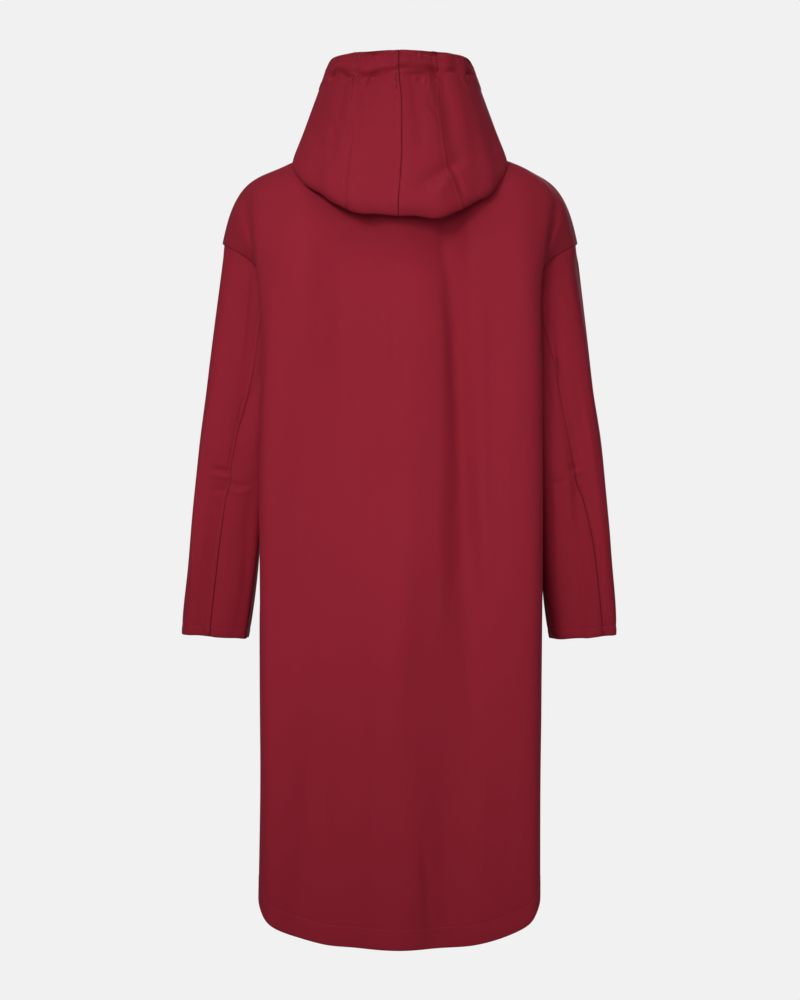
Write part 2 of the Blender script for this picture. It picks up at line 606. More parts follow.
def with_allowance(grid, edge):
    """The grid run on straight past one edge, by the cloth that lies under the next piece."""
    lines = grid if edge > 1 else grid.transpose(1, 0, 2)
    lines = lines[::-1] if edge in (1, 3) else lines
    away = unit(lines[0] - lines[1])
    extra = np.array([lines[0] + away * SEAM_ALLOWANCE * share for share in ALLOWANCE_ROWS])
    lines = np.concatenate((extra, lines))
    lines = lines[::-1] if edge in (1, 3) else lines
    return lines if edge > 1 else lines.transpose(1, 0, 2)


def edge_distances(grid):
    """Distance of each point from the first, last, top and bottom edge of its piece."""
    across, down = lengths_along(grid, 1), lengths_along(grid, 0)
    return across, across[:, -1:] - across, down, down[-1:] - down


def cloth_piece(name, grid, flip, grooves, bands, laps=(), step=CLOTH_STEP, faint=False):
    """A closed thin shell of cloth with rounded edges. Grooves are (edge, distance) of each row of
    sewing, bands (edge, width, rise) where turned cloth lies thicker, and laps the edges that run
    on under the next piece; edges count as above."""
    for edge in laps:
        grid = with_allowance(grid, edge)
    marks = [[distance for own, distance in grooves if own == edge] for edge in range(4)]
    for edge in laps:
        marks[edge].append(SEAM_ALLOWANCE)
    grid = refined(grid, step, marks)
    normals = grid_normals(grid, flip)
    to_edges = edge_distances(grid)
    height = np.zeros(grid.shape[:2])
    for edge in laps:
        inside = to_edges[edge] - SEAM_ALLOWANCE
        height -= SEAM_SINK * (1 - eased(SEAM_FROM, SEAM_TO, inside))
    for edge, distance in grooves:
        off = (to_edges[edge] - distance) / ROW_HALF_WIDTH
        height -= ROW_SINK * np.exp(-(off**2))
    for edge, width, rise in bands:
        height += rise * (1 - eased(width + BAND_FROM, width + BAND_TO, to_edges[edge]))
    grid = grid + normals * height[..., None]
    normals = grid_normals(grid, flip)
    nearest = np.min(to_edges, axis=0)
    turned = 1 - np.clip(nearest / TURNED_EDGE, 0, 1)
    drop = CLOTH_THICKNESS / 2 * (1 - np.sqrt(1 - turned**2))
    outer = grid - normals * drop[..., None]
    inner = grid - normals * (CLOTH_THICKNESS - drop)[..., None]

    rows, columns = grid.shape[:2]
    index = np.arange(rows * columns).reshape(rows, columns)
    behind_count = (rows - 2) * (columns - 2)
    back_index = index.copy()
    back_index[1:-1, 1:-1] = rows * columns + np.arange(behind_count).reshape(rows - 2, -1)
    points = np.concatenate((outer.reshape(-1, 3), inner[1:-1, 1:-1].reshape(-1, 3)))

    def quads(numbers):
        corners = numbers[:-1, :-1], numbers[:-1, 1:], numbers[1:, 1:], numbers[1:, :-1]
        return np.stack(corners, axis=-1).reshape(-1, 4)

    front, behind = quads(index), quads(back_index)
    if flip > 0:
        behind = behind[:, ::-1]
    else:
        front = front[:, ::-1]
    mesh = bpy.data.meshes.new(name)
    mesh.from_pydata(points.tolist(), [], np.concatenate((front, behind)).tolist())

    cloth_map = flat_map(to_edges[0][rows // 2], to_edges[2][:, columns // 2])
    beside = np.minimum(to_edges[0], to_edges[1]) < np.minimum(to_edges[2], to_edges[3])
    seam_map = np.stack((np.where(beside, cloth_map[..., 1], cloth_map[..., 0]), nearest), axis=-1)
    corners = np.concatenate((front, behind)).reshape(-1)
    own = np.concatenate((index.reshape(-1), index[1:-1, 1:-1].reshape(-1)))[corners]
    for title, values in (("Cloth", cloth_map), ("Seam", seam_map)):
        layer = mesh.uv_layers.new(name=title)
        layer.data.foreach_set("uv", values.reshape(-1, 2)[own].reshape(-1).astype(np.float32))
    mesh.shade_smooth()
    mesh.materials.append(faint_material if faint else cloth_material)
    piece = bpy.data.objects.new(name, mesh)
    bpy.context.collection.objects.link(piece)
    return piece, outer, normals

def flat_size(grid):
    """Width, length and area of the cut that a piece was before it was sewn."""
    across, down = lengths_along(grid, 1)[:, -1].max(), lengths_along(grid, 0)[-1].max()
    sides = np.cross(np.diff(grid, axis=1)[:-1], np.diff(grid, axis=0)[:, :-1])
    area = np.linalg.norm(sides, axis=-1).sum()
    return (float(across), float(down)), float(area)


def hang(piece, node, outer):
    """Hands a finished piece of cloth to the frame in its node's place."""
    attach(piece, "root")
    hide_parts(node)
    flat, area = flat_size(outer)
    area = min(area, flat[0] * flat[1])
    print(f"cut of {piece.name}: {flat[0]:.3f} x {flat[1]:.3f} m, {area:.4f} m2")


def body_sheet(side):
    """Even rows over the whole back (side 1) or both fronts (side -1), from shoulder to hem."""
    back = side > 0
    distances = ROUND if back else ROUND[-1] - ROUND[::-1]
    seam = SIDE if back else len(ROUND) - 1 - SIDE
    end, neck_end = distances[seam], distances[1]
    places = np.linspace(-end, end, 2 * round(end / CLOTH_STEP) + 1)
    downs = np.linspace(0, 1, YOKE_ROWS)
    bottom = body_stations(0)[:: 1 if back else -1]
    yoke = yoke_stations if back else chest_stations
    both = np.concatenate((-distances[:0:-1], distances))
    inside = np.abs(both) <= end + 1e-6

    def row_through(left, right, knots):
        return smooth(knots, np.vstack((right[:0:-1] * MIRROR, left)), places)

    rows = [
        row_through(yoke(d, bottom, "left"), yoke(d, bottom, "right"), both[inside]) for d in downs
    ]
    top = []
    for place in places:
        share = (abs(place) - neck_end) / (end - neck_end)
        turn = 90 * min(abs(place) / neck_end, 1)
        point = shoulder_point(share) if share > 0 else neck_point(turn if back else 180 - turn)
        top.append(point * (MIRROR if place < 0 else 1.0))
    change = np.array(top) - rows[0]
    rows = [row + change * (1 - down) ** 3 for row, down in zip(rows, downs)]
    reach = distances[seam + 1]
    for share in np.linspace(0, 1, round((UNDERARM - HEM[0]) / CLOTH_STEP) + 1)[1:]:
        half = body_stations(share)[:: 1 if back else -1][: seam + 2]
        rows.append(row_through(half, half, both[np.abs(both) <= reach + 1e-6]))
    grid = softened(np.array(rows), BODY_SOFTENING)
    height = np.zeros(grid.shape[:2])
    for panel, top_x, bottom_x, high, low, to_left, to_right, ridge in FOLDS:
        if panel == side:
            down = (high - grid[..., 2]) / (high - low)
            middle = top_x + np.clip(down, 0, 1) * (bottom_x - top_x)
            along = eased(*FOLD_PLACES[:2], down) * (1 - eased(*FOLD_PLACES[2:], down))
            off = grid[..., 0] - middle
            width = np.where(off > 0, to_left, to_right)
            height += FOLD_DEPTH * ridge * along * np.exp(-((off / width) ** 2))
    height *= eased(CALM_FROM, CALM_TO, end - np.abs(places))
    grid[..., 1] += side * height
    return grid, places


def faded(grid, top=0.03, bottom=0.0, sides=0.03):
    """1 inside a piece and 0 at the edges where its creases must die away."""
    first, last, above, below = edge_distances(grid)
    result = np.ones(grid.shape[:2])
    for distance, width in ((first, sides), (last, sides), (above, top), (below, bottom)):
        if width:
            result = result * eased(0.0, width, distance)
    return result


def crumpled(grid, flip, creases, seed):
    """A body sheet with its creases and ripples, which die away at its edges."""
    flat = grid[..., (0, 2)]
    height = creased(flat, creases) + rippled(flat, seed, BODY_RIPPLE)
    return raised(grid, flip, height * faded(grid))


back, back_outer, back_out = cloth_piece(
    "back_cloth",
    crumpled(body_sheet(1)[0], 1.0, BACK_CREASES, BACK_SEED),
    1.0,
    grooves=((3, BODY_HEM),),
    bands=((3, BODY_HEM, 0.0003),),
    faint=True,
)
hang(back, "back", back_outer)


# Sewing: a row of stitches is a run of short oval loops of thread, laid by Geometry Nodes along a
# line on the finished cloth, each a little uneven and half sunk in it.
STITCH_PITCH, STITCH_LENGTH, STITCH_THICKNESS = 0.0040, 0.0021, 0.00078
STITCH_LEAST, STITCH_MOST = (0.86, 0.85, 0.8), (1.08, 1.15, 1.1)
STITCH_LIFT = 0.00008


def node_group(title, extra, kind):
    """A node group for lines or points with one more input, and a wire for each of the two."""
    tree = bpy.data.node_groups.new(title, "GeometryNodeTree")
    tree.interface.new_socket("Geometry", in_out="INPUT", socket_type="NodeSocketGeometry")
    tree.interface.new_socket(extra, in_out="INPUT", socket_type=kind)
    tree.interface.new_socket("Geometry", in_out="OUTPUT", socket_type="NodeSocketGeometry")
    entry = tree.nodes.new("NodeGroupInput")
    return Wire(tree, entry.outputs[0]), Wire(tree, entry.outputs[1])


def finish_group(points, shape, placing, material):
    """Ends a node group: copies of the shape at its points, made real, in one material."""
    copies = {"Points": points, "Instance": shape, **placing}
    laid = points.node("GeometryNodeInstanceOnPoints", copies)
    solid = points.node("GeometryNodeRealizeInstances", {"Geometry": laid})
    done = points.node("GeometryNodeSetMaterial", {"Geometry": solid, "Material": material})
    done.into(points.tree.nodes.new("NodeGroupOutput"), 0)
    return points.tree


def lift_of(wire):
    """The outward direction that each point carries."""
    return wire.node("GeometryNodeInputNamedAttribute", {"Name": "lift"}, data_type="FLOAT_VECTOR")


def stitch_tree():
    """Geometry Nodes that lay one stitch after another along every line of a mesh."""
    wire, seed = node_group("row_of_stitches", "Seed", "NodeSocketInt")
    curve = wire.node("GeometryNodeMeshToCurve", {0: wire})
    pitch = {"Curve": curve, "Length": STITCH_PITCH}
    even = wire.node("GeometryNodeResampleCurve", pitch, mode="LENGTH")
    tangent = wire.node("GeometryNodeInputTangent", {})
    along = wire.node("FunctionNodeAlignRotationToVector", {"Vector": tangent}, axis="X")
    turned = wire.node(
        "FunctionNodeAlignRotationToVector",
        {"Rotation": along, "Vector": lift_of(wire)},
        axis="Z",
        pivot_axis="X",
    )
    loop = wire.node("GeometryNodeMeshUVSphere", {"Segments": 6, "Rings": 4, "Radius": 0.5})
    round_loop = wire.node("GeometryNodeSetShadeSmooth", {0: loop})
    limits = {"Min": STITCH_LEAST, "Max": STITCH_MOST, "Seed": seed}
    uneven = wire.node("FunctionNodeRandomValue", limits, data_type="FLOAT_VECTOR")
    size = uneven.times((STITCH_LENGTH, STITCH_THICKNESS, STITCH_THICKNESS))
    return finish_group(even, round_loop, {"Rotation": turned, "Scale": size}, thread_material)


row_of_stitches = stitch_tree()


def laid(name, points, edges, lifts, tree, value):
    """A piece of what a node group lays on points, each with its outward direction."""
    mesh = bpy.data.meshes.new(name)
    mesh.from_pydata(points.tolist(), edges, [])
    lift = mesh.attributes.new("lift", "FLOAT_VECTOR", "POINT")
    lift.data.foreach_set("vector", lifts.reshape(-1).astype(np.float32))
    piece = bpy.data.objects.new(name, mesh)
    bpy.context.collection.objects.link(piece)
    modifier = piece.modifiers.new("laid", "NODES")
    modifier.node_group = tree
    modifier[tree.interface.items_tree[2].identifier] = value
    shown = piece.evaluated_get(bpy.context.evaluated_depsgraph_get())
    plain = bpy.data.meshes.new_from_object(shown)
    piece.modifiers.clear()
    piece.data = plain
    return piece


def sewn_line(outer, normals, edge, distance):
    """Points and outward directions of a line at one distance inside an edge of a piece."""
    away = edge_distances(outer)[edge]
    if edge > 1:
        away, outer, normals = away.T, outer.transpose(1, 0, 2), normals.transpose(1, 0, 2)
    way = slice(None, None, -1 if edge in (1, 3) else 1)
    line = []
    for row, known in enumerate(away):
        both = np.concatenate((outer[row], normals[row]), axis=1)[way]
        line.append([np.interp(distance, known[way], both[:, k]) for k in range(6)])
    line = np.array(line)
    return line[:, :3] + line[:, 3:] * STITCH_LIFT, unit(line[:, 3:])


def sew(name, rows, seed):
    """One piece of all the stitches of these lines."""
    edges, first = [], 0
    for points, _ in rows:
        edges += [(first + i, first + i + 1) for i in range(len(points) - 1)]
        first += len(points)
    points, lifts = (np.concatenate(part) for part in zip(*rows))
    piece = laid(name, points, edges, lifts, row_of_stitches, seed)
    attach(piece, "root")


sew("stitches_back", [sewn_line(back_outer, back_out, 3, BODY_HEM)], 1)


# Fronts: two plain pieces of the same cotton. The wearer's right laps over the left by 44 mm, the
# front edges are topstitched, and the hem runs on from the back's.
HALF_OVERLAP, LAP_SINK = 0.022, 0.0027
LAP_SINKS_FROM, LAP_SINKS_TO = 0.024, 0.050
EDGE_STITCH = 0.006
FRONT_CREASES = (
    (-1.8, 9, ((0.100, -0.170), (0.086, -0.260), (0.092, -0.380), (0.080, -0.520))),
    (1.5, 10, ((0.040, -0.220), (0.046, -0.340), (0.038, -0.480))),
    (-1.6, 9, ((-0.110, -0.200), (-0.096, -0.300), (-0.100, -0.430), (-0.088, -0.540))),
    (1.3, 9, ((-0.052, -0.300), (-0.046, -0.440), (-0.056, -0.600))),
    (-1.7, 10, ((0.058, -0.640), (0.066, -0.760), (0.056, -0.900), (0.064, -1.010))),
    (1.4, 9, ((0.104, -0.700), (0.096, -0.840), (0.104, -0.980))),
    (-1.5, 9, ((-0.072, -0.700), (-0.062, -0.830), (-0.070, -0.960), (-0.060, -1.030))),
    (1.5, 10, ((-0.112, -0.620), (-0.118, -0.760), (-0.108, -0.900))),
    (-1.2, 8, ((0.132, -0.340), (0.126, -0.440), (0.134, -0.560))),
    (-1.2, 8, ((-0.130, -0.360), (-0.136, -0.470), (-0.128, -0.600))),
)

grid, places = body_sheet(-1)
fronts = crumpled(grid, -1.0, FRONT_CREASES, FRONT_SEED)
seam = places[-1]
front_rows = []
for hand, start, end in (("left", -HALF_OVERLAP, seam), ("right", -seam, HALF_OVERLAP)):
    own = np.linspace(start, end, round((end - start) / CLOTH_STEP) + 1)
    half = np.array([smooth(places, row, own) for row in fronts])
    if hand == "left":
        sink = LAP_SINK * (1 - eased(LAP_SINKS_FROM, LAP_SINKS_TO, own))
        half = raised(half, -1.0, -np.broadcast_to(sink, half.shape[:2]))
    edge = 0 if hand == "left" else 1
    piece, outer, out = cloth_piece(
        f"front_{hand}_cloth",
        half,
        -1.0,
        grooves=((3, BODY_HEM), (edge, EDGE_STITCH)),
        bands=((3, BODY_HEM, 0.0005),),
    )
    hang(piece, f"front_{hand}", outer)
    front_rows.append(sewn_line(outer, out, 3, BODY_HEM))
    front_rows.append(sewn_line(outer, out, edge, EDGE_STITCH))
    if hand == "right":
        lap_outer, lap_out = outer, out
sew("stitches_fronts", front_rows, 2)


# Sleeves: an upper and an under piece each, set in with more length than the arm needs, so that
# they crease at the elbow. The back seam is topstitched on the upper side; cuffs turn under.
CUFF_HEM = 0.013
SLEEVE_TOPSTITCH = 0.006
# Below the armhole: place down the sleeve, height, outer and inner edge across, middle and half
# size front to back, turn of the back seam
SLEEVE = np.array(
    (
        (0.000, -0.160, 0.2430, 0.1600, 0.000, 0.0600, 120),
        (0.130, -0.320, 0.2611, 0.1650, 0.002, 0.0615, 105),
        (0.210, -0.401, 0.2725, 0.1730, 0.002, 0.0615, 92),
        (0.260, -0.450, 0.2776, 0.1810, 0.000, 0.0605, 85),
        (0.320, -0.510, 0.2836, 0.1870, -0.004, 0.0590, 76),
        (0.380, -0.570, 0.2888, 0.1920, -0.010, 0.0570, 70),
        (0.456, -0.646, 0.2960, 0.2018, -0.019, 0.0500, 69),
        (0.478, -0.668, 0.2968, 0.2060, -0.022, 0.0470, 69),
    )
)
SEAM_SKEW = {"left": 8.0, "right": -8.0}
SEAM_JOG, SEAM_JOG_PLACE, SEAM_JOG_REACH = {"left": 8.0, "right": 2.0}, 0.268, 0.013
SLEEVE_STEP = 0.0022
SLEEVE_SQUARENESS = 4.6  # 2 would be an oval arm; above 2 its faces lie flatter
FRONT_SEAM_TURN = 240.0
CUFF_TILT = 0.003
TURN_WIDTH = 0.00095  # metres of cloth for each degree round the arm
SLEEVE_ROWS, SLEEVE_SOFTENING = 320, 12
SLEEVE_RIPPLE, SMALL_WAVES = 0.0022, (0.12, 0.03)
SLEEVE_SEEDS = {"left": 31, "right": 37}
# Creases: ridge in mm, half width in mm, points as turn in degrees and place down the sleeve
SLEEVE_CREASES = {
    "left": (
        (6.0, 34, ((132, 0.000), (128, 0.120), (122, 0.220), (118, 0.330))),
        (2.6, 5, ((38, 0.140), (35, 0.230), (36, 0.330), (42, 0.430))),
        (-1.8, 5, ((25, 0.130), (22, 0.260), (24, 0.420))),
        (-2.0, 8, ((150, 0.040), (128, 0.110), (104, 0.180), (94, 0.235))),
        (-2.6, 3.2, ((97, 0.256), (80, 0.254), (60, 0.250))),
        (2.0, 3.2, ((96, 0.262), (78, 0.262), (58, 0.258))),
        (-2.2, 3.2, ((94, 0.268), (112, 0.273), (132, 0.271))),
        (1.6, 3.4, ((96, 0.276), (114, 0.282), (130, 0.279))),
        (-1.6, 4, ((88, 0.274), (76, 0.280), (62, 0.277))),
        (-1.0, 5, ((104, 0.225), (120, 0.238), (134, 0.240))),
        (1.0, 9, ((62, 0.290), (58, 0.350), (60, 0.420))),
        (-1.5, 8, ((120, 0.320), (112, 0.390), (118, 0.450))),
        (1.2, 8, ((84, 0.310), (88, 0.380), (84, 0.440))),
        (-1.6, 8, ((-40, 0.180), (-52, 0.250), (-44, 0.330))),
        (-1.5, 6, ((-20, 0.262), (-50, 0.256), (-84, 0.266))),
        (-1.3, 6, ((-26, 0.286), (-58, 0.280), (-92, 0.292))),
        (1.3, 9, ((-90, 0.100), (-80, 0.200), (-88, 0.300))),
        (-1.6, 8, ((200, 0.060), (186, 0.160), (196, 0.240))),
    ),
    "right": (
        (14.0, 40, ((126, 0.000), (122, 0.140), (116, 0.300), (112, 0.520))),
        (1.8, 6, ((54, 0.110), (50, 0.210), (48, 0.300), (46, 0.420))),
        (-1.9, 4, ((74, 0.170), (71, 0.250), (67, 0.330))),
        (-1.2, 7, ((30, 0.120), (24, 0.220), (22, 0.330))),
        (-1.7, 8, ((146, 0.030), (126, 0.090), (108, 0.150), (100, 0.215))),
        (-2.1, 3.4, ((98, 0.246), (84, 0.250), (68, 0.247))),
        (1.6, 3.4, ((96, 0.254), (82, 0.257), (66, 0.254))),
        (-1.8, 3.4, ((100, 0.262), (116, 0.268), (132, 0.266))),
        (-1.1, 4, ((92, 0.276), (80, 0.282), (68, 0.278))),
        (-1.3, 8, ((112, 0.330), (104, 0.400), (110, 0.455))),
        (1.3, 8, ((78, 0.300), (74, 0.370), (78, 0.450))),
        (-1.6, 8, ((-44, 0.160), (-56, 0.240), (-50, 0.310))),
        (-1.4, 6, ((-18, 0.250), (-48, 0.246), (-80, 0.254))),
        (-1.3, 6, ((-24, 0.276), (-56, 0.272), (-90, 0.280))),
        (1.2, 9, ((-94, 0.120), (-84, 0.220), (-92, 0.310))),
        (-1.5, 8, ((204, 0.050), (190, 0.140), (198, 0.220))),
    ),
}


def arm_column(turn, rows):
    """Points down the sleeve at one turn round the arm, from the armhole to the cuff."""
    side, back = math.cos(math.radians(turn)), math.sin(math.radians(turn))
    middle = (SLEEVE[1:, 2] + SLEEVE[1:, 3]) / 2
    half = (SLEEVE[1:, 2] - SLEEVE[1:, 3]) / 2
    tilt = CUFF_TILT * side * SLEEVE[1:, 0] / SLEEVE[-1, 0]
    deep = (1 - min(abs(side), 1) ** SLEEVE_SQUARENESS) ** (1 / SLEEVE_SQUARENESS)
    depth = SLEEVE[1:, 4] + SLEEVE[1:, 5] * math.copysign(deep, back)
    below = np.column_stack((middle + half * side, depth, SLEEVE[1:, 1] + tilt))
    return smooth(SLEEVE[:, 0], np.vstack((armhole_point(turn % 360), below)), rows)


def round_creases(creases, turn_width):
    """Creases given by turn and place, as points on the flat cloth."""
    return [
        (ridge, half, [(turn * turn_width, place) for turn, place in line])
        for ridge, half, line in creases
    ]


def cut_between(grid, columns, starts, ends):
    """The part of a grid between two lines that run down it, given by their column values."""
    spread = np.mean(ends - starts) / (columns[-1] - columns[0]) * len(columns)
    shares = np.linspace(0, 1, max(8, round(spread * 1.2)))[None, :]
    wanted = starts[:, None] + shares * (ends - starts)[:, None]
    return np.array([smooth(columns, row, values) for row, values in zip(grid, wanted)])


even = np.radians(np.linspace(-180, 360, 361))
squared = [np.sign(v) * np.abs(v) ** (2 / SLEEVE_SQUARENESS) for v in (np.sin(even), np.cos(even))]
turns = np.degrees(np.unwrap(np.arctan2(*squared)))
turns += 360 * round((-180 - turns[0]) / 360)
first_turn, last_turn = FRONT_SEAM_TURN - 360, FRONT_SEAM_TURN
turns = turns[(turns > first_turn + 0.5) & (turns < last_turn - 0.5)]
turns = np.concatenate(([first_turn], turns, [last_turn]))
rows = np.linspace(0, SLEEVE[-1, 0], SLEEVE_ROWS)
arm = np.stack([arm_column(turn, rows) for turn in turns], axis=1)
arm = softened(arm, SLEEVE_SOFTENING)
flat = flat_map(turns * TURN_WIDTH, rows)
for hand, seed in SLEEVE_SEEDS.items():
    height = creased(flat, round_creases(SLEEVE_CREASES[hand], TURN_WIDTH))
    height += rippled(flat, seed, SLEEVE_RIPPLE, *SMALL_WAVES)
    tube, flip = raised(arm, -1.0, height * faded(arm, sides=0.012)), -1.0
    if hand == "right":
        tube, flip = tube * MIRROR, 1.0
    seam = smooth(SLEEVE[:, 0], SLEEVE[:, 6:7], rows)[:, 0]
    seam += SEAM_SKEW[hand] * eased(0.0, 0.2, rows)
    seam += SEAM_JOG[hand] * np.exp(-(((rows - SEAM_JOG_PLACE) / SEAM_JOG_REACH) ** 2))
    first, last = np.full_like(seam, turns[0]), np.full_like(seam, turns[-1])
    sleeve_rows = []
    for part, start, end in (("upper", first, seam), ("under", seam, last)):
        grooves = [(3, CUFF_HEM)] + ([(1, SLEEVE_TOPSTITCH)] if part == "upper" else [])
        piece, outer, out = cloth_piece(
            f"sleeve_{part}_{hand}_cloth",
            cut_between(tube, turns, start, end),
            flip,
            grooves,
            bands=((3, CUFF_HEM, 0.0004),),
            laps=(2,) if part == "upper" else (0, 1, 2),
            step=SLEEVE_STEP,
        )
        hang(piece, f"sleeve_{part}_{hand}", outer)
        sleeve_rows.append(sewn_line(outer, out, 3, CUFF_HEM))
        if part == "upper":
            sleeve_rows.append(sewn_line(outer, out, 1, SLEEVE_TOPSTITCH))
    sew(f"stitches_sleeve_{hand}", sleeve_rows, 3)


# Hood: two narrow pieces beside the centre-back seam and one round each side to the face. It
# stands at the neck, rolls over and hangs as a pouch; its rim is a stitched tunnel, puckered.
RIM_HALF_WIDTH, RIM_BACK, RIM_FRONT = 0.0985, 0.083, 0.085
HOOD_BAND = 0.013
HOOD_STAND, HOOD_ROLL = 0.022, 0.010
HOOD_SAG = 0.004
UNDER_IN, UNDER_UP = 0.010, 0.014
# Where the pouch is widest: at the sides, and how much further at centre back
OUTER_OUT, OUTER_UP = (0.0045, 0.0025), (0.003, 0.012)
BELLY_SHARES = (0.35, 0.67)
HOOD_BELLY = 0.006
POUCH_FROM, POUCH_TO = 88.0, 138.0
HOOD_OPEN_NECK, HOOD_OPEN_RIM = 3.0, 7.0
HOOD_TUNNEL, HOOD_RIM_STITCH, HOOD_TOPSTITCH = 0.0375, 0.0075, 0.007
HOOD_STEP = 0.0024
HOOD_BACK_STEP = 0.0016
HOOD_TILT, HOOD_TILT_PLACE, HOOD_TILT_REACH = 0.0040, 0.175, 0.035
HOOD_PLACES = np.array((0, HOOD_BAND, 0.028, 0.09, 0.15, 0.167, 0.186, 0.25, 0.31, 0.375))
# Turn from centre back, rim height, lowest line across, depth, height
HOOD = np.array(
    (
        (0, 0.1165, 0.000, 0.140, -0.1115),
        (15, 0.1163, 0.040, 0.139, -0.1105),
        (30, 0.1157, 0.074, 0.131, -0.1020),
        (45, 0.1151, 0.099, 0.115, -0.0885),
        (65, 0.1135, 0.126, 0.086, -0.0670),
        (85, 0.1040, 0.1405, 0.045, -0.0350),
        (110, 0.0850, 0.132, -0.005, -0.0060),
        (140, 0.0660, 0.085, -0.045, 0.0050),
        (180, 0.0450, 0.000, -0.080, -0.0200),
    )
)
# Place up the cloth, turn of the left, centre and right seam, which wander a little
HOOD_SEAMS = np.array(
    (
        (0.000, 30.0, 0.0, -30.0),
        (0.150, 28.0, 0.2, -35.0),
        (0.167, 27.0, 0.4, -36.0),
        (0.186, 26.5, 0.6, -33.5),
        (0.250, 27.0, -1.0, -25.8),
        (0.310, 28.5, -1.2, -26.5),
        (0.338, 30.0, 0.2, -30.0),
        (0.375, 30.0, 0.8, -30.0),
    )
)
HOOD_TURN_WIDTH = 0.0018
HOOD_CREASES = (
    (-3.4, 9, ((38, 0.290), (30, 0.262), (24, 0.238), (22, 0.215))),
    (-2.7, 10, ((50, 0.280), (42, 0.256), (44, 0.232))),
    (-5.1, 8, ((-40, 0.236), (-30, 0.231), (-18, 0.220), (-6, 0.204))),
    (3.4, 8, ((-30, 0.222), (-22, 0.212), (-18, 0.198))),
    (-2.7, 4, ((-27, 0.236), (-30, 0.220), (-33, 0.202), (-35, 0.188))),
    (-1.4, 10, ((64, 0.310), (66, 0.270), (60, 0.230))),
    (2.0, 10, ((12, 0.300), (10, 0.260), (14, 0.220))),
    (-2.2, 7, ((-8, 0.310), (-12, 0.280), (-10, 0.250))),
    (-2.5, 5, ((10, 0.226), (18, 0.220), (28, 0.224))),
    (-2.0, 5, ((-14, 0.310), (-20, 0.300), (-24, 0.286))),
    (-1.9, 4, ((26, 0.312), (19, 0.304), (13, 0.308))),
    (-5.2, 4.1, ((52, 0.351), (45, 0.346), (38, 0.341), (34, 0.338))),
    (-4.9, 3.2, ((37, 0.349), (31, 0.346), (25, 0.345))),
    (-5.2, 3.5, ((29, 0.3415), (22, 0.3445), (14, 0.3455))),
    (4.3, 3.5, ((23, 0.351), (15, 0.353), (7, 0.352))),
    (-5.8, 3.5, ((12, 0.3475), (4, 0.350), (-6, 0.352), (-13, 0.350))),
    (-5.2, 3.2, ((-3, 0.3445), (-12, 0.346), (-21, 0.3475))),
    (-4.9, 3.2, ((-18, 0.352), (-27, 0.350), (-34, 0.3525))),
    (4.1, 3.5, ((-8, 0.356), (-18, 0.357), (-28, 0.356))),
    (-4.6, 3.5, ((-32, 0.346), (-40, 0.350), (-50, 0.348))),
    (-4.6, 3.2, ((66, 0.350), (59, 0.345), (53, 0.348))),
    (4.1, 3.5, ((60, 0.353), (50, 0.356), (42, 0.354))),
    (-5.2, 3.5, ((-54, 0.346), (-64, 0.351), (-74, 0.347))),
    (-5.2, 3.5, ((84, 0.348), (96, 0.352), (108, 0.347))),
    (-5.2, 3.5, ((-90, 0.351), (-100, 0.346), (-112, 0.350))),
    (-4.9, 3.5, ((124, 0.350), (136, 0.346), (148, 0.351))),
    (-4.9, 3.5, ((-126, 0.347), (-138, 0.351), (-150, 0.347))),
    (-1.8, 9, ((100, 0.090), (108, 0.180), (104, 0.260))),
    (-1.8, 9, ((-98, 0.100), (-106, 0.190), (-100, 0.270))),
    (-1.5, 9, ((138, 0.080), (142, 0.170), (136, 0.260))),
    (-1.5, 9, ((-140, 0.090), (-136, 0.180), (-142, 0.280))),
    (-1.4, 8, ((14, 0.060), (20, 0.100), (14, 0.140))),
    (-1.4, 8, ((-18, 0.050), (-14, 0.100), (-20, 0.140))),
)
HOOD_COLUMNS, HOOD_ROWS, HOOD_SOFTENING = 421, 260, 7
HOOD_RIPPLE, HOOD_SEED = 0.0036, 41
HOOD_CALM, HOOD_CALM_TURNS = 0.8, (40, 70)  # the sides hang smoother than the back
TUNNEL_PUCKER, TUNNEL_REACH = 0.0016, 0.0085
# Rows of sewing that pucker: place up the cloth, seed, share of that height
HOOD_PUCKERS = (
    (HOOD_PLACES[-1] - HOOD_TUNNEL, 43, 1.0),
    (HOOD_PLACES[-1] - HOOD_RIM_STITCH, 47, 0.55),
)
NECK_GAP = 0.0006  # between the hood's edge and the body's


